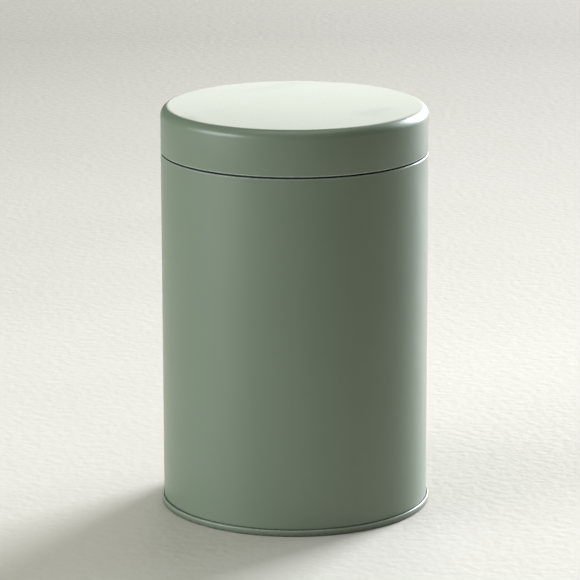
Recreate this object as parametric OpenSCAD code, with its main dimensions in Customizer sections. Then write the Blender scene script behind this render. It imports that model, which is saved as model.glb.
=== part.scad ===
// Round coffee tin with a flush slip lid and a press-in inner lid, in millimetres.
// The origin is at the middle of the base, on the surface that the tin stands on, and +Z is up.
// The side seam is at the back, on +Y.

/* [Tin] */
// Outside diameter of the body wall and of the lid
tin_d = 99; // [80:1:130]
// Height of the closed tin
tin_h = 151; // [110:1:220]
// Thickness of the tinplate sheet
sheet = 0.25; // [0.2:0.01:0.3]

/* [Outer lid] */
// Height of the lid, from its hem to its top
lid_h = 16.8; // [14:0.2:30]
// Outside radius of the lid's rounded shoulder
lid_shoulder_r = 3.4; // [1.5:0.1:6]
// Height of the lid's folded-in hem
lid_hem_leg = 4; // [2:0.5:6]
// Open gap between the closed lid and the body wall
lid_gap = 0.7; // [0.2:0.05:1]
// Running clearance between the lid's hem and the neck, on the radius
lid_play = 0.15; // [0.08:0.01:0.15]
// Gap between the inner lid's flange and the inside of the lid's shoulder
lid_headroom = 0.1; // [0.05:0.05:0.3]

/* [Body wall] */
// Open space between the two layers of the hem at the top of the wall
hem_gap = 0.2; // [0.18:0.02:0.4]
// Height of that hem
wall_hem_leg = 3; // [2:0.5:6]
// Width of the lap of the welded side seam
lap_w = 1.2; // [0.6:0.2:3]
// How far the lap stands out from the inside of the wall
lap_step = 0.2; // [0.1:0.05:0.25]

/* [Neck ring] */
// Length of the neck ring inside the body wall
neck_tail = 22; // [16:1:40]
// Outside diameter of the curl at the mouth
curl_d = 1.55; // [1.2:0.05:2]
// Fit between the neck ring and the wall's hem, on the radius
neck_fit = 0.02; // [0.01:0.01:0.05]

/* [Bottom end] */
// Height of the double seam
seam_h = 2.4; // [2.2:0.1:3.4]
// Thickness of the compound film between the layers of the seam
film_t = 0.03; // [0.02:0.01:0.05]
// Outside radius of the seam's foot
foot_r = 0.42; // [0.4:0.02:0.5]
// Height of the bottom panel above the surface below
panel_lift = 4; // [3.2:0.2:6]
// Inside radius between the bottom panel and its rim
panel_corner_r = 1.2; // [0.6:0.1:2]

/* [Inner lid] */
// How far the flange stops short of the neck's outside, on the radius
flange_inset = 0.85; // [0.5:0.05:0.9]
// Outside radius of the pan's lower corner
pan_corner_r = 1.6; // [1:0.1:3]
// Free height between the knob and the lid above it
knob_headroom = 1.2; // [0.5:0.1:3]

/* [Inner lid seal] */
// Thickness of the seal's sleeve around the pan
sleeve_t = 0.6; // [0.5:0.05:1]
// Height of the sleeve
sleeve_h = 6.2; // [5:0.2:9]
// Thickness of the seal's collar under the flange
collar_t = 0.6; // [0.5:0.05:1]
// Number of sealing lips
lips = 3; // [2:1:3]
// How far a lip stands out of the sleeve
lip_reach = 0.55; // [0.3:0.05:0.8]
// Clearance between the pressed lips and the mouth, on the radius
lip_play = 0.08; // [0.03:0.01:0.15]

/* [Knob] */
// Diameter of the knob's head
knob_d = 19; // [14:0.5:26]
// Height of the knob
knob_h = 9; // [7:0.5:14]
// Diameter of the knob's waist
waist_d = 9; // [8:0.5:13]
// Diameter of the knob's foot
knob_foot_d = 13; // [11:0.5:13.5]

/* [Knob screw] */
// Diameter of the screw
screw_d = 3; // [2.5:0.5:4]
// Diameter of the screw's head
screw_head_d = 5.6; // [5:0.2:8]
// Height of the screw's head
screw_head_h = 1.8; // [1.4:0.1:2.4]
// Depth of the screw in the knob
screw_grip = 4.5; // [3:0.5:5.5]
// Outside diameter of the washer
washer_d = 8; // [7.5:0.5:12]
// Thickness of the washer
washer_t = 0.5; // [0.3:0.1:1]
// Clearance of the screw in the pan and the washer, on the radius
screw_play = 0.15; // [0.1:0.05:0.3]

/* [Hidden] */

$fn = 180;
half = sheet / 2;
arc_step = 9;              // degrees between the points of a bend
paint = "#7c8b79";
tinplate = "#b9bcb9";
turned = "#c6c8c8";
silicone = "#d9dbd6";
compound = "#5d615c";

// Each sheet has a middle line, half its thickness in from its faces.
wall_r = tin_d / 2;
wall_mid = wall_r - half;

// Double seam: five layers side by side, one pitch apart from middle line to middle line.
pitch = sheet + film_t;
chuck_mid = wall_mid - pitch;
cover_hook_mid = wall_mid + pitch;
body_hook_mid = wall_mid + 2 * pitch;
seam_mid = wall_mid + 3 * pitch;
seam_fold_z = seam_h - half - pitch;          // where the seam's top fold starts
body_fold_z = sheet + film_t + half + pitch;  // where the wall's bottom fold starts
hook_end_gap = 0.24;                          // room for compound above the body hook
cover_end_gap = 0.11;                         // room below the cover hook

// Shoulder and neck
hem_z = tin_h - lid_h;                        // lower edge of the closed lid
shoulder_z = hem_z - lid_gap;                 // top of the body wall
wall_hem_t = 2 * sheet + hem_gap;
wall_hem_r = (wall_hem_t - sheet) / 2;
neck_r = wall_r - wall_hem_t - neck_fit;
neck_mid = neck_r - half;
lid_hem_r = (wall_r - neck_r - lid_play - sheet) / 2;

// Stack under the lid: headroom, flange, seal collar, mouth curl
shoulder_in_r = lid_shoulder_r - sheet - lid_headroom;
flange_r = neck_r - flange_inset;
flange_out = max(0, flange_r - (wall_r - lid_shoulder_r));   // how far it reaches into the shoulder
flange_z = tin_h - lid_shoulder_r + sqrt(shoulder_in_r * shoulder_in_r - flange_out * flange_out);
collar_z = flange_z - sheet;
rest_play = 0.02;                             // film between the seal's collar and the curl
mouth_z = collar_z - collar_t - rest_play;    // top of the mouth curl
curl_r = curl_d / 2 - half;
mouth_r = neck_r - curl_d;

// Inner lid
lip_r = mouth_r - lip_play;
sleeve_r = lip_r - lip_reach;
pan_r = sleeve_r - sleeve_t;
pan_z = tin_h - sheet - knob_headroom - knob_h;   // top face of the pan's floor
washer_z = pan_z - sheet - washer_t;
washer_r = screw_d / 2 + screw_play;

// Middle line of a bent sheet. A step is [length] for a straight run, or [radius, angle]
// for a bend, to the left where the angle is positive. Each point has its heading beside it.
function normal(a) = [-sin(a), cos(a)];
function bend_points(p, a, r, turn) =
    let (n = ceil(abs(turn) / arc_step), side = sign(turn) * r, centre = p + side * normal(a))
    [for (k = [1 : n]) let (b = a + turn * k / n) [centre - side * normal(b), b]];
function step_points(p, a, step) =
    len(step) == 1 ? [[p + step[0] * [cos(a), sin(a)], a]] : bend_points(p, a, step[0], step[1]);
function bent(line, steps, i = 0) =
    i == len(steps) ? line
    : let (last = line[len(line) - 1])
      bent(concat(line, step_points(last[0], last[1], steps[i])), steps, i + 1);
function middle_line(start, heading, steps) = bent([[start, heading]], steps);

// A bead that rises and falls, and the width that it takes up
function bead(r, a) = [[r, a], [r, -2 * a], [r, a]];
function bead_w(r, a) = 4 * r * sin(abs(a));
// A sideways step of a sheet, and how far it moves it
function jog(r, a) = [[r, a], [r, -a]];
function jog_w(r, a) = 2 * r * (1 - cos(a));
function jog_l(r, a) = 2 * r * sin(abs(a));

// Arc of points around a centre, for turned shapes
function arc(centre, r, from, to) =
    let (n = ceil(abs(to - from) / arc_step))
    [for (k = [0 : n]) let (b = from + (to - from) * k / n) centre + r * [cos(b), sin(b)]];

// Turns a bent sheet of even thickness around the tin's axis.
module spun_sheet(start, heading, steps) {
    line = middle_line(start, heading, steps);
    left = [for (q = line) q[0] + half * normal(q[1])];
    right = [for (i = [len(line) - 1 : -1 : 0]) line[i][0] - half * normal(line[i][1])];
    rotate_extrude() polygon(concat(left, right));
}

// Body wall: one rolled sheet, hooked into the double seam and hemmed inwards at the top.
module body_wall() {
    hook_run = seam_fold_z - hook_end_gap - body_fold_z;
    wall_run = shoulder_z - half - wall_hem_r - body_fold_z;
    color(paint) union() {
        spun_sheet([body_hook_mid, body_fold_z + hook_run], -90, [
            [hook_run],
            [pitch, -180],
            [wall_run],
            [wall_hem_r, 180],
            [wall_hem_leg]
        ]);
        side_seam_lap();
    }
}

// The inner edge of the sheet, lapped and welded on the inside of the wall.
module side_seam_lap() {
    lap_angle = lap_w / wall_r * 180 / PI;
    lap_low = seam_h + panel_lift;
    lap_high = shoulder_z - neck_tail - 3;      // stops short of the neck ring
    bite = half;
    rotate([0, 0, 90 - lap_angle / 2])
        rotate_extrude(angle = lap_angle)
            translate([wall_r - sheet - lap_step, lap_low])
                square([lap_step + bite, lap_high - lap_low]);
}

// Bottom end: a pressed disc whose edge is rolled over the wall's hook to make the double seam.
module bottom_end() {
    bead_r = 1.5;
    bead_a = 36;
    step_r = 1.2;
    step_a = 40;
    edge_flat = 4;
    ring_gap = 4.5;
    corner = panel_corner_r + half;
    foot = foot_r - half;
    panel_r = chuck_mid - corner;
    hub_r = panel_r - edge_flat - 2 * bead_w(bead_r, bead_a) - 2 * ring_gap - jog_l(step_r, step_a);
    panel_mid = panel_lift + half;
    chuck_run = panel_mid - corner - foot - half;
    color(paint) spun_sheet([0, panel_mid - jog_w(step_r, step_a)], 0, concat(
        [[hub_r]],
        jog(step_r, step_a),
        [[ring_gap]],
        bead(bead_r, bead_a),
        [[ring_gap]],
        bead(bead_r, bead_a),
        [[edge_flat], [corner, -90], [chuck_run], [foot, 90]],
        [[seam_mid - chuck_mid - 2 * foot], [foot, 90]],
        [[seam_fold_z - half - foot], [pitch, 180]],
        [[seam_fold_z - body_fold_z - cover_end_gap]]
    ));
}

// Sealing compound: the ring of rubber left above the body hook inside the seam.
module seam_compound() {
    ring_t = 0.22;
    ring_z = seam_fold_z - hook_end_gap + film_t;
    color(compound) rotate_extrude()
        translate([body_hook_mid - ring_t / 2, ring_z]) square([ring_t, hook_end_gap]);
}

// Neck ring: a rolled sleeve inside the body wall, with a bead under the wall's hem and a
// curled mouth. The outer lid slips over it.
module neck_ring() {
    out = wall_hem_t - sheet;                    // from the neck out to the inside of the wall
    flare_r = 1.5;
    flare_a = acos(1 - out / (2 * flare_r));
    flare_run = 4;
    bead_r = 0.8;
    bead_a = acos(1 - out / (2 * bead_r));
    bead_low = shoulder_z - wall_hem_leg - wall_hem_t - bead_w(bead_r, bead_a);
    tail_z = shoulder_z - neck_tail;
    tail_run = bead_low - tail_z - flare_run - jog_l(flare_r, flare_a);
    neck_run = mouth_z - half - curl_r - bead_low - bead_w(bead_r, bead_a);
    color(tinplate) spun_sheet([neck_mid + out, tail_z], 90, concat(
        [[flare_run]],
        jog(flare_r, flare_a),
        [[tail_run]],
        bead(bead_r, -bead_a),
        [[neck_run], [curl_r, 300]]
    ));
}

// Inner lid pan: pressed from one disc, sunk into the mouth, with a hole for the knob's screw.
module inner_lid_pan() {
    bead_r = 1.4;
    bead_a = 36;
    edge_flat = 3;
    corner = pan_corner_r - half;
    rim = 0.6;
    hole_r = screw_d / 2 + screw_play;
    floor_run = pan_r - half - corner - edge_flat - bead_w(bead_r, bead_a) - hole_r;
    wall_run = flange_z - pan_z - corner - rim;
    flange_run = flange_r - (pan_r - half) - rim;
    color(tinplate) spun_sheet([hole_r, pan_z - half], 0, concat(
        [[floor_run]],
        bead(bead_r, bead_a),
        [[edge_flat], [corner, 90], [wall_run], [rim, -90], [flange_run]]
    ));
}

// Seal: a moulded silicone ring on the pan, with a collar under the flange and lips for the mouth.
module inner_lid_seal() {
    collar_r = flange_r - 0.1;
    stretch = 0.01;
    rim_relief = 0.8;         // keeps the collar off the bend between the pan's wall and its flange
    low = collar_z - sleeve_h;
    lip_pitch = (sleeve_h - collar_t) / lips;
    lip_t = 0.5;
    inner = pan_r + stretch;
    lip_points = [for (k = [0 : lips - 1]) let (z = low + (k + 0.5) * lip_pitch) each [
        [sleeve_r, z - lip_t], [lip_r, z - lip_t / 4], [lip_r, z + lip_t / 4], [sleeve_r, z + lip_t / 2]
    ]];
    color(silicone) rotate_extrude() polygon(concat(
        [[inner, low], [sleeve_r, low]],
        lip_points,
        [[sleeve_r, collar_z - collar_t], [collar_r, collar_z - collar_t], [collar_r, collar_z]],
        [[inner + rim_relief, collar_z], [inner, collar_z - rim_relief]]
    ));
}

// Knob: a turned mushroom with a blind hole for its screw.
module knob() {
    edge_r = 1.4;
    waist_r = waist_d / 2;
    foot_edge = 1;
    flare = knob_foot_d / 2 - waist_r;
    head_low = knob_h - 2 * edge_r - crown();
    bore_r = screw_d / 2 + 0.02;
    bore_h = screw_grip + 0.5;
    head_edge = [knob_d / 2 - edge_r, head_low + edge_r];
    head_flare = min(flare, head_low - foot_edge - flare);
    color(turned) translate([0, 0, pan_z]) rotate_extrude() polygon(concat(
        [[bore_r, 0], [knob_foot_d / 2, 0]],
        arc([knob_foot_d / 2, foot_edge + flare], flare, 270, 180),
        arc([waist_r + head_flare, head_low - head_flare], head_flare, 180, 90),
        arc(head_edge, edge_r, 270, 450 - crown_angle()),
        arc([0, knob_h - crown_radius()], crown_radius(), 90 - crown_angle(), 90),
        [[0, bore_h], [bore_r, bore_h]]
    ));
}
function crown() = 0.8;                                     // rise of the knob's domed top
function crown_chord() = knob_d / 2 - 1.4;
function crown_radius() = (crown_chord() * crown_chord() + crown() * crown()) / (2 * crown());
function crown_angle() = asin(crown_chord() / crown_radius());

// Screw: a slotted pan head under the washer, its shank up through the pan into the knob.
module knob_screw() {
    slot_w = 0.8;
    slot_h = 0.9;
    edge_r = 0.8;
    head_r = screw_head_d / 2;
    low = washer_z - screw_head_h;
    color(turned) difference() {
        rotate_extrude() polygon(concat(
            [[0, low]],
            arc([head_r - edge_r, low + edge_r], edge_r, 270, 360),
            [[head_r, washer_z], [screw_d / 2, washer_z]],
            [[screw_d / 2, pan_z + screw_grip], [0, pan_z + screw_grip]]
        ));
        translate([-head_r - 1, -slot_w / 2, low - 1]) cube([screw_head_d + 2, slot_w, slot_h + 1]);
    }
}

// Washer under the pan
module screw_washer() {
    color(tinplate) rotate_extrude()
        translate([washer_r, washer_z]) square([washer_d / 2 - washer_r, washer_t]);
}

// Outer lid: a drawn cap with a flat top, a rounded shoulder and a hem folded inwards.
module outer_lid() {
    shoulder = lid_shoulder_r - half;
    skirt_run = lid_h - half - shoulder - half - lid_hem_r;
    color(paint) spun_sheet([0, tin_h - half], 0, [
        [wall_mid - shoulder],
        [shoulder, -90],
        [skirt_run],
        [lid_hem_r, -180],
        [lid_hem_leg]
    ]);
}

body_wall();
bottom_end();
seam_compound();
neck_ring();
inner_lid_seal();
inner_lid_pan();
knob();
knob_screw();
screw_washer();
outer_lid();
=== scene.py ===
import math

import bmesh
import bpy
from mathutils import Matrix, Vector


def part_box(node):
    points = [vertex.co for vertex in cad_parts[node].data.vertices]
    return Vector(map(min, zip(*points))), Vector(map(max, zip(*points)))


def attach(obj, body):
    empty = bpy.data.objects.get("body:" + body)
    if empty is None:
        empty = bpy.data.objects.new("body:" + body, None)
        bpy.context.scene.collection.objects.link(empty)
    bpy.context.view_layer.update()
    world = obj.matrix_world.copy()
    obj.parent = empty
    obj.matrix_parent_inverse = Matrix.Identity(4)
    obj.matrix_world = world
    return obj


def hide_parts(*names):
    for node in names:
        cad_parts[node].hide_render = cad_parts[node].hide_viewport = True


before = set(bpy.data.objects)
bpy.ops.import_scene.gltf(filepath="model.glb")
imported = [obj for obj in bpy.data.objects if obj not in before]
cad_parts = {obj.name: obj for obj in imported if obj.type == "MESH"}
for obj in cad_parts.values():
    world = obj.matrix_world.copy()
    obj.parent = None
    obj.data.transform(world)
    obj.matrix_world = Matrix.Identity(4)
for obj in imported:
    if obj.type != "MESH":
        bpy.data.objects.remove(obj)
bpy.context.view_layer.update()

mm = 0.001
print("frame loaded:", len(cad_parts), "nodes")


# ---- materials: "scales" are those of the broad clouds, the fine grain and the handling smudges ----

sageCoat = {
    "colour": (0.170, 0.216, 0.150),
    "paler": (0.196, 0.243, 0.176),
    "thinAndLit": (0.500, 0.555, 0.480),     # paler: the coat thinning over a tight bend, and a painted highlight along it
    "shadeAndGrime": (0.035, 0.045, 0.032),    # painted shade at the foot and in the crease above the seam, with a little grime
    "palerMost": 0.35,
    "roughness": (0.28, 0.32),         # below 0.275 the render's denoiser leaves dark dots
    "smudged": 0.04,                   # how much rougher a smudge is
    "scales": (16.0, 1100.0, 38.0),
    "peelHeight": 0.0015 * mm,
}
plateFinish = {
    "colour": (0.640, 0.645, 0.630),
    "darker": (0.520, 0.525, 0.515),
    "gapShade": (0.010, 0.011, 0.010),     # painted shade in the narrow gap under the lid's edge, nearly black
    "gapShadeRoughness": 0.5,
    "roughness": (0.28, 0.40),
    "smudged": 0.08,
    "scales": (30.0, 1500.0, 60.0),
    "grainHeight": 0.004 * mm,
}
cutFinish = {"colour": (0.42, 0.42, 0.41), "darker": (0.25, 0.25, 0.24), "roughness": (0.4, 0.6)}
knobFinish = {"colour": (0.760, 0.765, 0.770), "darker": (0.60, 0.605, 0.61), "roughness": (0.28, 0.38)}
screwFinish = {"colour": (0.60, 0.60, 0.585), "darker": (0.46, 0.46, 0.45), "roughness": (0.3, 0.42)}
turnedFinish = {"smudged": 0.06, "scales": (90.0, 2500.0, 220.0), "ringHeight": 0.006 * mm}
siliconeFinish = {"colour": (0.80, 0.815, 0.78), "second": (0.72, 0.735, 0.70), "roughness": (0.38, 0.55)}
compoundFinish = {"colour": (0.10, 0.11, 0.10), "second": (0.16, 0.17, 0.155), "roughness": (0.6, 0.8)}
rubberFinish = {"scales": (60.0, 3000.0, 180.0), "grainHeight": 0.006 * mm}


def addNode(tree, kind, settings=None, **inputs):
    # an input is named by its label, or as i0, i1 and so on by its place
    node = tree.nodes.new(kind)
    for key, value in (settings or {}).items():
        setattr(node, key, value)
    for key, value in inputs.items():
        byPlace = key[0] == "i" and key[1:].isdigit()
        socket = node.inputs[int(key[1:])] if byPlace else node.inputs[key]
        if hasattr(value, "is_output"):
            tree.links.new(value, socket)
        else:
            socket.default_value = value
    return node


def newGroup(name, takes, gives):
    group = bpy.data.node_groups.new(name, "ShaderNodeTree")
    for label, value in takes.items():
        kind = "NodeSocketVector" if value is None else "NodeSocketFloat"
        socket = group.interface.new_socket(label, in_out="INPUT", socket_type=kind)
        if value is not None:
            socket.default_value = value
    for label in gives:
        group.interface.new_socket(label, in_out="OUTPUT", socket_type="NodeSocketFloat")
    return group, group.nodes.new("NodeGroupInput"), group.nodes.new("NodeGroupOutput")


def combine(tree, kind, *values):
    inputs = {f"i{k}": value for k, value in enumerate(values)}
    return addNode(tree, "ShaderNodeMath", {"operation": kind}, **inputs).outputs[0]


def buildCloudGroup():               # broad unevenness, fine grain and faint handling smudges
    takes = {"Vector": None, "Broad Scale": 20.0, "Fine Scale": 900.0, "Smudge Scale": 45.0}
    group, source, result = newGroup("surfaceClouds", takes, ("Broad", "Fine", "Smudge"))
    vector, broadScale, fineScale, smudgeScale = source.outputs[:4]
    broad = addNode(group, "ShaderNodeTexNoise", Vector=vector, Scale=broadScale, Detail=3.0)
    fine = addNode(group, "ShaderNodeTexNoise", Vector=vector, Scale=fineScale, Detail=1.5)
    smudge = addNode(group, "ShaderNodeTexNoise", Vector=vector, Scale=smudgeScale,
                     Detail=4.0, Distortion=0.8)
    spot = addNode(group, "ShaderNodeMapRange", {"interpolation_type": "SMOOTHSTEP"},
                   i0=smudge.outputs[0], i1=0.56, i2=0.78)
    group.links.new(broad.outputs[0], result.inputs["Broad"])
    group.links.new(fine.outputs[0], result.inputs["Fine"])
    group.links.new(spot.outputs[0], result.inputs["Smudge"])
    return group


def buildBandGroup():                # a soft band around the axis, at one height
    takes = {"Vector": None, "Height": 0.0, "Width": 0.001}
    group, source, result = newGroup("heightBand", takes, ("Mask",))
    split = addNode(group, "ShaderNodeSeparateXYZ", Vector=source.outputs["Vector"])
    offset = combine(group, "SUBTRACT", split.outputs["Z"], source.outputs["Height"])
    near = combine(group, "DIVIDE", combine(group, "ABSOLUTE", offset), source.outputs["Width"])
    fade = addNode(group, "ShaderNodeMapRange", {"interpolation_type": "SMOOTHSTEP"},
                   i0=near, i1=1.0, i2=0.0)
    group.links.new(fade.outputs[0], result.inputs["Mask"])
    return group


def buildRollingGroup():             # straight rolling lines of the sheet, along X
    takes = {"Vector": None, "Across": 1600.0, "Along": 30.0}
    group, source, result = newGroup("rollingLines", takes, ("Lines",))
    split = addNode(group, "ShaderNodeSeparateXYZ", Vector=source.outputs["Vector"])
    x = combine(group, "MULTIPLY", split.outputs["X"], source.outputs["Along"])
    y = combine(group, "MULTIPLY", split.outputs["Y"], source.outputs["Across"])
    z = combine(group, "MULTIPLY", split.outputs["Z"], source.outputs["Across"])
    joined = addNode(group, "ShaderNodeCombineXYZ", X=x, Y=y, Z=z)
    lines = addNode(group, "ShaderNodeTexNoise", Vector=joined.outputs[0], Scale=1.0, Detail=3.0)
    group.links.new(lines.outputs[0], result.inputs["Lines"])
    return group


def buildTurningGroup():             # rings left by a turning tool, around the axis
    takes = {"Vector": None, "Rings": 5200.0}
    group, source, result = newGroup("turningRings", takes, ("Rings",))
    split = addNode(group, "ShaderNodeSeparateXYZ", Vector=source.outputs["Vector"])
    flat = addNode(group, "ShaderNodeCombineXYZ", X=split.outputs["X"], Y=split.outputs["Y"], Z=0.0)
    reach = addNode(group, "ShaderNodeVectorMath", {"operation": "LENGTH"}, i0=flat.outputs[0])
    place = combine(group, "ADD", reach.outputs["Value"], split.outputs["Z"])
    along = combine(group, "MULTIPLY", place, source.outputs["Rings"])
    rings = addNode(group, "ShaderNodeTexNoise", {"noise_dimensions": "1D"}, W=along, Scale=1.0, Detail=2.0)
    group.links.new(rings.outputs[0], result.inputs["Rings"])
    return group


cloudGroup = buildCloudGroup()
bandGroup = buildBandGroup()
rollingGroup = buildRollingGroup()
turningGroup = buildTurningGroup()


def newMaterial(name, **fixed):
    material = bpy.data.materials.new(name)
    material.use_nodes = True
    tree = material.node_tree
    shader = tree.nodes["Principled BSDF"]
    for label, value in fixed.items():
        shader.inputs[label.replace("_", " ")].default_value = value
    place = addNode(tree, "ShaderNodeTexCoord").outputs["Object"]
    return material, tree, shader, place


def useGroup(tree, group, place, **inputs):
    node = addNode(tree, "ShaderNodeGroup", {"node_tree": group})
    tree.links.new(place, node.inputs["Vector"])
    for label, value in inputs.items():
        node.inputs[label.replace("_", " ")].default_value = value
    return node


def useClouds(tree, place, scales):
    broad, fine, smudge = scales
    node = useGroup(tree, cloudGroup, place, Broad_Scale=broad, Fine_Scale=fine, Smudge_Scale=smudge)
    return [node.outputs[label] for label in ("Broad", "Fine", "Smudge")]


def remap(tree, value, low, high, fromLow=0.3, fromHigh=0.7):
    # a noise runs from about 0.3 to 0.7
    node = addNode(tree, "ShaderNodeMapRange", i0=value, i1=fromLow, i2=fromHigh, i3=low, i4=high)
    return node.outputs[0]


def mixColour(tree, amount, first, second):
    # each colour is three plain numbers or what another node gives
    first, second = [(*colour, 1.0) if isinstance(colour, tuple) else colour for colour in (first, second)]
    return addNode(tree, "ShaderNodeMix", {"data_type": "RGBA"}, i0=amount, i6=first, i7=second).outputs[2]


def addSmudges(tree, gloss, smudge, most):
    return combine(tree, "ADD", gloss, remap(tree, smudge, 0.0, most, 0.0, 1.0))


def addBump(tree, shader, height, distance, strength=1.0):
    bump = addNode(tree, "ShaderNodeBump", Strength=strength, Distance=distance, Height=height)
    tree.links.new(bump.outputs[0], shader.inputs["Normal"])


def makeCoat(name, tintBands):
    # satin enamel; each band is (height, width, strength, "thinAndLit" or "shadeAndGrime"): thin coat with
    # painted highlight, or painted shade with a little grime
    material, tree, shader, place = newMaterial(name)
    broad, fine, smudge = useClouds(tree, place, sageCoat["scales"])
    pale = remap(tree, broad, 0.0, sageCoat["palerMost"])
    colour = mixColour(tree, pale, sageCoat["colour"], sageCoat["paler"])
    for height, width, strength, look in tintBands:
        mask = useGroup(tree, bandGroup, place, Height=height, Width=width).outputs["Mask"]
        uneven = combine(tree, "MULTIPLY", mask, remap(tree, fine, strength * 0.6, strength * 1.2))
        colour = mixColour(tree, uneven, colour, sageCoat[look])
    gloss = addSmudges(tree, remap(tree, fine, *sageCoat["roughness"]), smudge, sageCoat["smudged"])
    tree.links.new(colour, shader.inputs["Base Color"])
    tree.links.new(gloss, shader.inputs["Roughness"])
    addBump(tree, shader, fine, sageCoat["peelHeight"])
    return material


def makePlate(name, gap=None):       # tinned steel; gap is the (height, width) of a band of painted shade around it
    material, tree, shader, place = newMaterial(name, Metallic=1.0)
    broad, fine, smudge = useClouds(tree, place, plateFinish["scales"])
    lines = useGroup(tree, rollingGroup, place).outputs["Lines"]
    shade = combine(tree, "MULTIPLY", remap(tree, lines, 0.0, 1.0), remap(tree, broad, 0.4, 1.0))
    colour = mixColour(tree, shade, plateFinish["colour"], plateFinish["darker"])
    gloss = addSmudges(tree, remap(tree, lines, *plateFinish["roughness"]), smudge, plateFinish["smudged"])
    if gap:
        # painted shade: a dark, rough, less metallic band where the narrow gap under the lid's edge holds
        # shade
        mask = useGroup(tree, bandGroup, place, Height=gap[0], Width=gap[1]).outputs["Mask"]
        gapShadeAmount = remap(tree, mask, 0.0, 1.0, 0.1, 0.4)
        colour = mixColour(tree, gapShadeAmount, colour, plateFinish["gapShade"])
        gloss = combine(tree, "ADD", gloss, combine(tree, "MULTIPLY", gapShadeAmount, plateFinish["gapShadeRoughness"]))
        tree.links.new(combine(tree, "SUBTRACT", 1.0, gapShadeAmount), shader.inputs["Metallic"])
    tree.links.new(colour, shader.inputs["Base Color"])
    tree.links.new(gloss, shader.inputs["Roughness"])
    addBump(tree, shader, lines, plateFinish["grainHeight"])
    return material


def makeTurned(name, look):          # turned or cut metal
    material, tree, shader, place = newMaterial(name, Metallic=1.0)
    rings = useGroup(tree, turningGroup, place).outputs["Rings"]
    smudge = useClouds(tree, place, turnedFinish["scales"])[2]
    colour = mixColour(tree, remap(tree, rings, 0.0, 0.8), look["colour"], look["darker"])
    gloss = addSmudges(tree, remap(tree, rings, *look["roughness"]), smudge, turnedFinish["smudged"])
    tree.links.new(colour, shader.inputs["Base Color"])
    tree.links.new(gloss, shader.inputs["Roughness"])
    addBump(tree, shader, rings, turnedFinish["ringHeight"])
    return material


def makeRubber(name, look, **fixed):
    material, tree, shader, place = newMaterial(name, **fixed)
    broad, fine, smudge = useClouds(tree, place, rubberFinish["scales"])
    mask = combine(tree, "MAXIMUM", remap(tree, broad, 0.0, 0.5), smudge)
    tree.links.new(mixColour(tree, mask, look["colour"], look["second"]), shader.inputs["Base Color"])
    tree.links.new(remap(tree, fine, *look["roughness"]), shader.inputs["Roughness"])
    addBump(tree, shader, fine, rubberFinish["grainHeight"])
    return material


barePlate = makePlate("barePlate")
cutEdge = makeTurned("cutEdge", cutFinish)
turnedKnob = makeTurned("turnedKnob", knobFinish)
screwSteel = makeTurned("screwSteel", screwFinish)
clearSilicone = makeRubber("clearSilicone", siliconeFinish, Subsurface_Weight=0.25, Subsurface_Scale=0.002)
seamRubber = makeRubber("seamRubber", compoundFinish)
print("materials made")


# ---- modelling ----

sheetStock = {"thickness": 0.25 * mm, "around": 192, "bendStep": 9.0, "mergeWithin": 0.002 * mm}
halfSheet = sheetStock["thickness"] / 2
sharp = 0.001 * mm                   # radius of a bend that stands for a sharp corner


def leaveEditing():
    if bpy.context.object and bpy.context.object.mode != "OBJECT":
        bpy.ops.object.mode_set(mode="OBJECT")


def deselectObjects():
    leaveEditing()
    bpy.ops.object.select_all(action="DESELECT")


def drawLine(name, start, heading, steps, close=False):
    # draws a bent line in the XZ plane, where (length,) runs straight on
    # and (radius, angle) bends, to the left where the angle is above 0
    deselectObjects()
    bpy.ops.mesh.primitive_plane_add(size=mm, location=(0, 0, 0))
    piece = bpy.context.object
    piece.name = name
    piece.data.name = name
    bpy.ops.object.mode_set(mode="EDIT")
    bpy.ops.mesh.select_mode(type="VERT")
    bpy.ops.mesh.select_all(action="SELECT")
    bpy.ops.mesh.merge(type="CENTER")
    bpy.ops.transform.translate(value=(start[0], 0, start[1]))
    x, z = start
    angle = math.radians(heading)
    for step in steps:
        if len(step) == 1:
            move = (step[0] * math.cos(angle), 0, step[0] * math.sin(angle))
            bpy.ops.mesh.extrude_region_move(TRANSFORM_OT_translate={"value": move})
            x += move[0]
            z += move[2]
        else:
            radius = math.copysign(step[0], step[1])
            turn = math.radians(step[1])
            centre = (x - radius * math.sin(angle), 0, z + radius * math.cos(angle))
            count = max(2, math.ceil(abs(step[1]) / sheetStock["bendStep"]))
            bpy.ops.mesh.spin(steps=count, angle=turn, center=centre, axis=(0, 1, 0))
            angle += turn
            x = centre[0] + radius * math.sin(angle)
            z = centre[2] - radius * math.cos(angle)
    if close:
        bpy.ops.mesh.extrude_region_move(TRANSFORM_OT_translate={"value": (start[0] - x, 0, start[1] - z)})
    return piece


def turnAround(piece, outside=None):
    # spins the line around the tin's axis; outside = (point, direction) says which way an open sheet faces
    bpy.ops.mesh.select_all(action="SELECT")
    bpy.ops.mesh.spin(steps=sheetStock["around"], angle=math.tau, center=(0, 0, 0), axis=(0, 0, 1))
    bpy.ops.mesh.select_all(action="SELECT")
    bpy.ops.mesh.remove_doubles(threshold=sheetStock["mergeWithin"])
    bpy.ops.mesh.normals_make_consistent(inside=False)
    if outside:
        point, direction = outside
        faces = bmesh.from_edit_mesh(piece.data).faces
        nearest = min(faces, key=lambda face: math.dist(face.calc_center_median(), point))
        if sum(a * b for a, b in zip(nearest.normal, direction)) < 0:
            bpy.ops.mesh.flip_normals()
    leaveEditing()


def giveThickness(piece, outer, inner, edge):
    for material in (outer, inner, edge):
        piece.data.materials.append(material)
    wall = piece.modifiers.new("sheet", "SOLIDIFY")
    wall.thickness = sheetStock["thickness"]
    wall.offset = 0
    wall.use_even_offset = True
    wall.material_offset = 1
    wall.material_offset_rim = 2
    bpy.ops.object.modifier_apply(modifier=wall.name)


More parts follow.
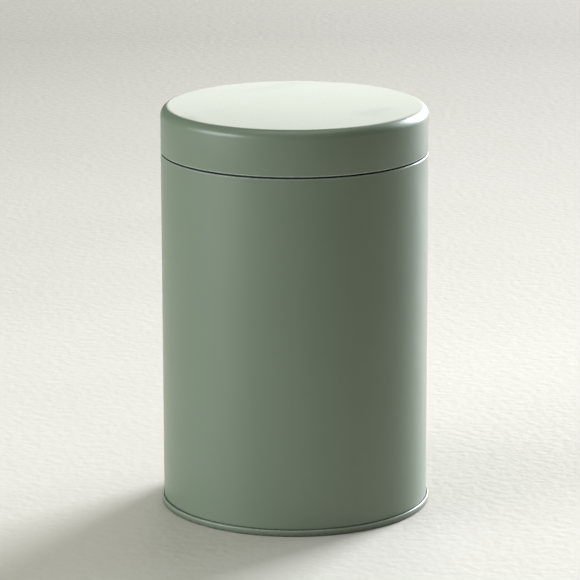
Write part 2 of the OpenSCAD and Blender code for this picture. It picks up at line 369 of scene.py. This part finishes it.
def finishPiece(piece, body, node, angle=38):
    leaveEditing()
    bpy.ops.object.shade_smooth_by_angle(angle=math.radians(angle))
    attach(piece, body)
    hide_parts(node)
    print("made", piece.name, len(piece.data.polygons), "faces")


def bead(radius, angle):
    return [(radius, angle), (radius, -2 * angle), (radius, angle)]


def beadWidth(radius, angle):
    return 4 * radius * math.sin(math.radians(abs(angle)))


def jog(radius, angle):              # a sideways step
    return [(radius, angle), (radius, -angle)]


def jogLength(radius, angle):
    return 2 * radius * math.sin(math.radians(abs(angle)))


def jogShift(radius, angle):
    return 2 * radius * (1 - math.cos(math.radians(angle)))


def jogAngle(radius, shift):
    return math.degrees(math.acos(1 - shift / (2 * radius)))


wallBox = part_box("body_wall")
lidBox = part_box("outer_lid")
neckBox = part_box("neck_ring")
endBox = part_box("bottom_end")
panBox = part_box("inner_lid_pan")
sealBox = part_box("inner_lid_seal")
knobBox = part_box("knob")
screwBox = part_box("knob_screw")
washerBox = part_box("screw_washer")
tinRadius = lidBox[1][0]
wallMiddle = tinRadius - halfSheet
seamPitch = (endBox[1][0] - halfSheet - wallMiddle) / 3      # from one layer of the double seam to the next


outerLid = {"shoulderRadius": 3.4 * mm, "hemLeg": 4 * mm, "hemRadius": 0.16 * mm,
            "hemWearAndHighlight": (0.6 * mm, 0.9)}          # width and strength


def makeOuterLid():
    shoulder = outerLid["shoulderRadius"] - halfSheet
    hem = outerLid["hemRadius"]
    top = lidBox[1][2] - halfSheet
    skirt = (top - shoulder) - (lidBox[0][2] + halfSheet + hem)
    piece = drawLine("outerLidShell", (0, top), 0, [
        (wallMiddle - shoulder,), (shoulder, -90), (skirt,), (hem, -180), (outerLid["hemLeg"],)])
    turnAround(piece, ((20 * mm, 0, top), (0, 0, 1)))
    # a paler band along the hem: thin coat and painted highlight
    coat = makeCoat("lidCoat", [(lidBox[0][2], *outerLid["hemWearAndHighlight"], "thinAndLit")])
    giveThickness(piece, coat, barePlate, cutEdge)
    finishPiece(piece, "lid", "outer_lid")


bodyWall = {"hemRadius": 0.225 * mm, "hemLeg": 3 * mm, "hookFold": 0.685 * mm, "hookRun": 1.07 * mm,
            "hemWearAndHighlight": (0.6 * mm, 0.5), "seamShadeAndGrime": (0.7 * mm, 0.9)}
sideSeam = {"grooveWidth": 0.5 * mm, "grooveDepth": 0.09 * mm, "lapWidth": 1.2 * mm, "lapStep": 0.2 * mm,
            "lapFrom": 6.4 * mm, "lapBelowShoulder": 25 * mm}


def cutBack(piece, point, normal):   # cuts an edge across the back half of the piece
    mesh = bmesh.from_edit_mesh(piece.data)
    for face in mesh.faces:
        face.select_set(face.calc_center_median().y > 0)
    mesh.select_flush_mode()
    bmesh.update_edit_mesh(piece.data)
    bpy.ops.mesh.bisect(plane_co=point, plane_no=normal, use_fill=False)


def selectVerts(piece, test):
    mesh = bmesh.from_edit_mesh(piece.data)
    bpy.ops.mesh.select_all(action="DESELECT")
    for vert in mesh.verts:
        vert.select_set(test(vert.co))
    mesh.select_flush_mode()
    bmesh.update_edit_mesh(piece.data)


def makeSideSeam(piece):
    # the locked seam shows outside as one fine upright groove
    shoulder = wallBox[1][2]
    half = sideSeam["grooveWidth"] / 2
    for x in (-half, 0, half):
        cutBack(piece, (x, 0, 0), (1, 0, 0))
    outside = tinRadius - 0.02 * mm
    selectVerts(piece, lambda at: abs(at.x) < 0.01 * mm and at.y > outside and at.z < shoulder)
    bpy.ops.transform.translate(value=(0, -sideSeam["grooveDepth"], 0))
    # inside, the sheet's other edge laps over it
    side = sideSeam["lapWidth"] / 2
    lapFrom = sideSeam["lapFrom"]
    lapTop = shoulder - sideSeam["lapBelowShoulder"]
    for x in (-side, side):
        cutBack(piece, (x, 0, 0), (1, 0, 0))
    for height in (lapFrom, lapTop):
        cutBack(piece, (0, 0, height), (0, 0, 1))
    mesh = bmesh.from_edit_mesh(piece.data)
    bpy.ops.mesh.select_mode(type="FACE")
    bpy.ops.mesh.select_all(action="DESELECT")
    for face in mesh.faces:
        middle = face.calc_center_median()
        inside = abs(middle.x) < side and 0 < middle.y < wallMiddle
        face.select_set(inside and lapFrom < middle.z < lapTop)
    bmesh.update_edit_mesh(piece.data)
    bpy.ops.mesh.extrude_region_move(TRANSFORM_OT_translate={"value": (0, -sideSeam["lapStep"], 0)})
    bpy.ops.mesh.select_mode(type="VERT")


def makeBodyWall():
    hem, hook = bodyWall["hemRadius"], bodyWall["hookFold"]
    shoulder = wallBox[1][2]
    run = shoulder - halfSheet - hem - hook
    piece = drawLine("bodyWallShell", (wallMiddle + 2 * seamPitch, hook + bodyWall["hookRun"]), -90, [
        (bodyWall["hookRun"],), (seamPitch, -180), (run,), (hem, 180), (bodyWall["hemLeg"],)])
    turnAround(piece, ((tinRadius, 0, 60 * mm), (1, 0, 0)))
    # a paler band on the hem: thin coat and painted highlight; a dark band at the seam's top: painted shade
    # in the crease, with a little grime
    coat = makeCoat("bodyCoat", [(shoulder, *bodyWall["hemWearAndHighlight"], "thinAndLit"),
                                 (bottomEnd["seamHeight"], *bodyWall["seamShadeAndGrime"], "shadeAndGrime")])
    giveThickness(piece, coat, barePlate, cutEdge)
    bpy.ops.object.mode_set(mode="EDIT")
    makeSideSeam(piece)
    finishPiece(piece, "tin", "body_wall")


bottomEnd = {"footRadius": 0.42 * mm, "seamHeight": 2.4 * mm, "coverRun": 1.2 * mm,
             "cornerRadius": 1.325 * mm, "panelLift": 4 * mm, "edgeFlat": 4 * mm, "ringGap": 4.5 * mm,
             "beadRadius": 1.5 * mm, "beadAngle": 36, "stepRadius": 1.2 * mm, "stepAngle": 40,
             "footShadeAndGrime": (1.8 * mm, 0.8), "bandBelowTop": 0.2 * mm, "seamWearAndHighlight": (0.5 * mm, 0.35)}


def makeBottomEnd():
    foot = bottomEnd["footRadius"] - halfSheet
    corner = bottomEnd["cornerRadius"]
    ring = (bottomEnd["beadRadius"], bottomEnd["beadAngle"])
    step = (bottomEnd["stepRadius"], bottomEnd["stepAngle"])
    gap, edgeFlat = bottomEnd["ringGap"], bottomEnd["edgeFlat"]
    chuck = wallMiddle - seamPitch
    outer = wallMiddle + 3 * seamPitch
    panel = bottomEnd["panelLift"] + halfSheet
    fold = bottomEnd["seamHeight"] - halfSheet - seamPitch
    hub = chuck - corner - edgeFlat - 2 * beadWidth(*ring) - 2 * gap - jogLength(*step)
    middle = panel - jogShift(*step)
    piece = drawLine("bottomEndShell", (0, middle), 0, [
        (hub,), *jog(*step), (gap,), *bead(*ring), (gap,), *bead(*ring), (edgeFlat,),
        (corner, -90), (panel - corner - foot - halfSheet,), (foot, 90), (outer - chuck - 2 * foot,),
        (foot, 90), (fold - halfSheet - foot,), (seamPitch, 180), (bottomEnd["coverRun"],)])
    turnAround(piece, ((10 * mm, 0, middle), (0, 0, -1)))
    # a dark band at the foot: painted shade with a little grime; a paler band below the seam's top: thin
    # coat and painted highlight
    seamBandAt = bottomEnd["seamHeight"] - bottomEnd["bandBelowTop"]
    coat = makeCoat("endCoat", [(0.0, *bottomEnd["footShadeAndGrime"], "shadeAndGrime"),
                                (seamBandAt, *bottomEnd["seamWearAndHighlight"], "thinAndLit")])
    giveThickness(piece, coat, barePlate, cutEdge)
    finishPiece(piece, "tin", "bottom_end")


neckRing = {"neckRadius": 48.78 * mm, "shift": 0.45 * mm, "flareRadius": 1.5 * mm, "flareRun": 4 * mm,
            "beadRadius": 0.8 * mm, "beadBelowShoulder": 3.7 * mm, "curlRadius": 0.65 * mm,
            "curlAngle": 300, "gapShadeWidth": 1.1 * mm}


def makeNeckRing():
    middle = neckRing["neckRadius"] - halfSheet
    flareAngle = jogAngle(neckRing["flareRadius"], neckRing["shift"])
    beadAngle = jogAngle(neckRing["beadRadius"], neckRing["shift"])
    beadTall = beadWidth(neckRing["beadRadius"], beadAngle)
    beadLow = wallBox[1][2] - neckRing["beadBelowShoulder"] - beadTall
    tail = neckBox[0][2]
    tailRun = beadLow - tail - neckRing["flareRun"] - jogLength(neckRing["flareRadius"], flareAngle)
    neckRun = neckBox[1][2] - halfSheet - neckRing["curlRadius"] - beadLow - beadTall
    piece = drawLine("neckRingShell", (middle + neckRing["shift"], tail), 90, [
        (neckRing["flareRun"],), *jog(neckRing["flareRadius"], flareAngle), (tailRun,),
        *bead(neckRing["beadRadius"], -beadAngle), (neckRun,),
        (neckRing["curlRadius"], neckRing["curlAngle"])])
    turnAround(piece, ((middle, 0, 140 * mm), (1, 0, 0)))
    # the neck carries a band of painted shade at the gap between the lid's edge and the body's shoulder
    lidGap = (lidBox[0][2] + wallBox[1][2]) / 2
    plate = makePlate("neckPlate", gap=(lidGap, neckRing["gapShadeWidth"]))
    giveThickness(piece, plate, barePlate, cutEdge)
    finishPiece(piece, "tin", "neck_ring")


innerPan = {"panRadius": 46.0 * mm, "holeRadius": 1.65 * mm, "cornerRadius": 1.475 * mm,
            "rimRadius": 0.6 * mm, "edgeFlat": 3 * mm, "beadRadius": 1.4 * mm, "beadAngle": 36}


def makeInnerPan():
    hole, edgeFlat = innerPan["holeRadius"], innerPan["edgeFlat"]
    ring = (innerPan["beadRadius"], innerPan["beadAngle"])
    corner, rim = innerPan["cornerRadius"], innerPan["rimRadius"]
    wall = innerPan["panRadius"] - halfSheet
    floor = panBox[0][2] + halfSheet
    flange = panBox[1][2] - halfSheet
    piece = drawLine("innerPanShell", (hole, floor), 0, [
        (wall - corner - edgeFlat - beadWidth(*ring) - hole,), *bead(*ring), (edgeFlat,), (corner, 90),
        (flange - floor - corner - rim,), (rim, -90), (panBox[1][0] - wall - rim,)])
    turnAround(piece, ((20 * mm, 0, floor), (0, 0, 1)))
    giveThickness(piece, barePlate, barePlate, cutEdge)
    finishPiece(piece, "inner_lid", "inner_lid_pan")


makeOuterLid()
makeBodyWall()
makeBottomEnd()
makeNeckRing()
makeInnerPan()


sealShape = {"innerRadius": 46.01 * mm, "sleeve": 0.6 * mm, "collar": 0.6 * mm, "underFillet": 0.2 * mm,
             "edge": 0.12 * mm, "relief": 0.8 * mm, "play": 0.01 * mm,
             "lips": 3, "lipReach": 0.55 * mm, "lipRoot": 0.75 * mm, "lipTip": 0.10 * mm}


def makeSeal():
    inner, relief = sealShape["innerRadius"], sealShape["relief"]
    outer = inner - sealShape["play"] + sealShape["sleeve"]
    low, high = sealBox[0][2], sealBox[1][2]
    collarOuter = sealBox[1][0]
    collar, fillet = sealShape["collar"], sealShape["underFillet"]
    edge, tip = sealShape["edge"], sealShape["lipTip"]
    pitch = (high - low - collar) / sealShape["lips"]
    rise, reach = sealShape["lipRoot"] / 2 - tip, sealShape["lipReach"] - tip
    slope = math.degrees(math.atan2(rise, reach))
    slant = math.hypot(rise, reach)
    lipTall = sealShape["lipRoot"] - 2 * tip * (1 - math.cos(math.radians(slope)))     # the tip is round
    steps = [(outer - inner - edge,), (edge, 90)]
    height = low + edge
    for k in range(sealShape["lips"]):
        root = low + (k + 0.5) * pitch - lipTall / 2
        steps += [(root - height,), (sharp, slope - 90), (slant,), (tip, 180 - 2 * slope),
                  (slant,), (sharp, slope - 90)]
        height = root + lipTall
    under = high - collar
    steps += [(under - height - fillet,), (fillet, -90), (collarOuter - outer - fillet - edge,), (edge, 90),
              (collar - 2 * edge,), (edge, 90), (collarOuter - edge - inner - relief,),
              (sharp, 45), (relief * math.sqrt(2),)]
    piece = drawLine("lidSealRing", (inner, low), 0, steps, close=True)
    turnAround(piece)
    piece.data.materials.append(clearSilicone)
    finishPiece(piece, "inner_seal", "inner_lid_seal", angle=50)


knobShape = {"edge": 1.4 * mm, "waist": 4.5 * mm, "foot": 6.5 * mm, "footEdge": 1.0 * mm,
             "crown": 0.8 * mm, "bore": 1.52 * mm, "boreDepth": 5.0 * mm, "break": 0.15 * mm}


def makeKnob():
    low, high = knobBox[0][2], knobBox[1][2]
    edge, flare = knobShape["edge"], knobShape["foot"] - knobShape["waist"]
    footEdge, bore, small = knobShape["footEdge"], knobShape["bore"], knobShape["break"]
    chord = knobBox[1][0] - edge
    crown = (chord ** 2 + knobShape["crown"] ** 2) / (2 * knobShape["crown"])
    crownAngle = math.degrees(math.asin(chord / crown))
    underHead = high - low - 2 * edge - knobShape["crown"]
    upper = min(flare, underHead - footEdge - flare)
    piece = drawLine("knobBody", (bore, low), 0, [
        (knobShape["foot"] - bore - small,), (small, 90), (footEdge - small,), (sharp, 90),
        (flare, -90), (max(underHead - footEdge - flare - upper, sharp),), (upper, -90),
        (chord - knobShape["waist"] - upper,), (edge, 180 - crownAngle), (crown, crownAngle)])
    # back to the first point, for the blind bore
    selectVerts(piece, lambda at: math.hypot(at.x - bore, at.z - low) < sharp)
    bpy.ops.mesh.extrude_region_move(TRANSFORM_OT_translate={"value": (0, 0, knobShape["boreDepth"])})
    bpy.ops.mesh.extrude_region_move(TRANSFORM_OT_translate={"value": (-bore, 0, 0)})
    turnAround(piece)
    piece.data.materials.append(turnedKnob)
    finishPiece(piece, "inner_lid", "knob", angle=30)


screwShape = {"shank": 1.5 * mm, "tip": 0.3 * mm, "headEdge": 0.8 * mm, "headHeight": 1.8 * mm,
              "slotWidth": 0.8 * mm, "slotDepth": 0.9 * mm}


def makeScrew():
    low, high = screwBox[0][2], screwBox[1][2]
    head, shank, tip = screwBox[1][0], screwShape["shank"], screwShape["tip"]
    edge, headHeight = screwShape["headEdge"], screwShape["headHeight"]
    piece = drawLine("knobScrewBody", (0, low), 0, [
        (head - edge,), (edge, 90), (headHeight - edge,), (sharp, 90), (head - shank,), (sharp, -90),
        (high - low - headHeight - tip,), (sharp, 45), (tip * math.sqrt(2),), (sharp, 45), (shank - tip,)])
    turnAround(piece)
    piece.data.materials.append(screwSteel)
    bpy.ops.mesh.primitive_cube_add(size=1, location=(0, 0, low))
    cutter = bpy.context.object
    cutter.scale = (4 * head, screwShape["slotWidth"], 2 * screwShape["slotDepth"])
    bpy.context.view_layer.objects.active = piece
    slot = piece.modifiers.new("slot", "BOOLEAN")
    slot.object = cutter
    slot.operation = "DIFFERENCE"
    slot.solver = "EXACT"
    bpy.ops.object.modifier_apply(modifier=slot.name)
    bpy.data.objects.remove(cutter)
    piece.select_set(True)
    finishPiece(piece, "inner_lid", "knob_screw", angle=30)


washerShape = {"bore": 1.65 * mm, "edge": 0.08 * mm}


def makeWasher():
    low, high = washerBox[0][2], washerBox[1][2]
    inner, outer, edge = washerShape["bore"], washerBox[1][0], washerShape["edge"]
    piece = drawLine("screwWasherRing", (inner, low), 0, [
        (outer - inner - edge,), (edge, 90), (high - low - 2 * edge,), (edge, 90),
        (outer - inner - edge,), (sharp, 90)], close=True)
    turnAround(piece)
    piece.data.materials.append(screwSteel)
    finishPiece(piece, "inner_lid", "screw_washer", angle=30)


makeSeal()
makeKnob()
makeScrew()
makeWasher()
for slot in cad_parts["seam_compound"].material_slots:      # stays, inside the double seam
    slot.material = seamRubber
print("pieces made")


# ---- floor, lights and camera ----

paleFloor = {
    "size": 14.0,
    "colour": (0.615, 0.58, 0.515),
    "paler": (0.665, 0.635, 0.575),
    "far": (0.32, 0.30, 0.26),         # painted shade: what the floor darkens to away from the tin, from one distance to the other
    "fade": (0.2, 1.0),
    "roughness": (0.6, 0.8),
    "scales": (5.0, 260.0, 14.0),
    "grainHeight": 0.5 * mm,
    "grainStrength": 0.5,
}


def makeFloor():
    deselectObjects()
    bpy.ops.mesh.primitive_plane_add(size=paleFloor["size"], location=(0, 0, 0))
    floor = bpy.context.object
    floor.name = "paleFloor"
    material, tree, shader, place = newMaterial("paleFloorPaint")
    broad, fine = useClouds(tree, place, paleFloor["scales"])[:2]
    colour = mixColour(tree, remap(tree, broad, 0.0, 1.0), paleFloor["colour"], paleFloor["paler"])
    # painted shade: the floor is painted darker away from the tin, leaving a painted pool of light around
    # it
    reach = addNode(tree, "ShaderNodeVectorMath", {"operation": "LENGTH"}, i0=place).outputs["Value"]
    fade = remap(tree, reach, 0.0, 1.0, *paleFloor["fade"])
    tree.links.new(mixColour(tree, fade, colour, paleFloor["far"]), shader.inputs["Base Color"])
    tree.links.new(remap(tree, fine, *paleFloor["roughness"]), shader.inputs["Roughness"])
    addBump(tree, shader, fine, paleFloor["grainHeight"], paleFloor["grainStrength"])
    floor.data.materials.append(material)


lightSet = [
    # name, place, width, height, power, colour; each faces lightAim
    ("windowBehind", (0.7, 4.8, 1.5), 3.0, 2.6, 63, (1.0, 0.98, 0.94)),
    ("windowBackRight", (3.0, 3.9, 1.5), 2.0, 2.6, 625, (0.885, 0.915, 1.0)),
    ("softRight", (4.3, 2.2, 1.5), 1.4, 2.6, 52, (0.72, 0.91, 1.0)),
    ("softLeftSide", (-4.7, 0.4, 0.9), 1.4, 1.6, 11, (0.86, 1.0, 0.86)),
    ("softLeft", (-4.2, -1.8, 1.1), 3.2, 2.0, 170, (0.91, 0.95, 1.0)),
    ("softFront", (-2.8, -3.6, 0.9), 1.6, 1.6, 9, (0.87, 0.86, 1.0)),
    ("overhead", (0, 0, 4.0), 3.2, 3.2, 50, (0.95, 1.0, 0.85)),
]
lightAim = (0, 0, 0.09)
softRoom = {"colour": (0.93, 0.95, 0.94, 1), "strength": 0.12}


def makeLights():
    for name, place, width, height, power, colour in lightSet:
        bpy.ops.object.light_add(type="AREA", location=place)
        lamp = bpy.context.object
        lamp.name = name
        east, north, up = [a - b for a, b in zip(lightAim, place)]
        lamp.rotation_euler = (math.atan2(math.hypot(east, north), -up), 0, math.atan2(-east, north))
        lamp.data.shape = "RECTANGLE"
        lamp.data.size = width
        lamp.data.size_y = height
        lamp.data.energy = power
        lamp.data.color = colour
        lamp.visible_camera = False
    world = bpy.data.worlds.new("softRoom")
    world.use_nodes = True
    background = world.node_tree.nodes["Background"]
    background.inputs["Color"].default_value = softRoom["colour"]
    background.inputs["Strength"].default_value = softRoom["strength"]
    bpy.context.scene.world = world


cameraSet = {"lens": 221.0, "sensor": 36.0, "place": (0, -1.290, 0.40411), "clip": (0.05, 60.0),
             "down": 14.083, "lean": 0.123, "turn": 0.049}       # degrees


def makeCamera():
    tilt = (90 - cameraSet["down"], cameraSet["lean"], cameraSet["turn"])
    bpy.ops.object.camera_add(location=cameraSet["place"], rotation=[math.radians(angle) for angle in tilt])
    camera = bpy.context.object
    camera.data.lens = cameraSet["lens"]
    camera.data.sensor_width = cameraSet["sensor"]
    camera.data.clip_start, camera.data.clip_end = cameraSet["clip"]
    bpy.context.scene.camera = camera
    bpy.context.scene.view_settings.view_transform = "Standard"


makeFloor()
makeLights()
makeCamera()

print("scene ready")
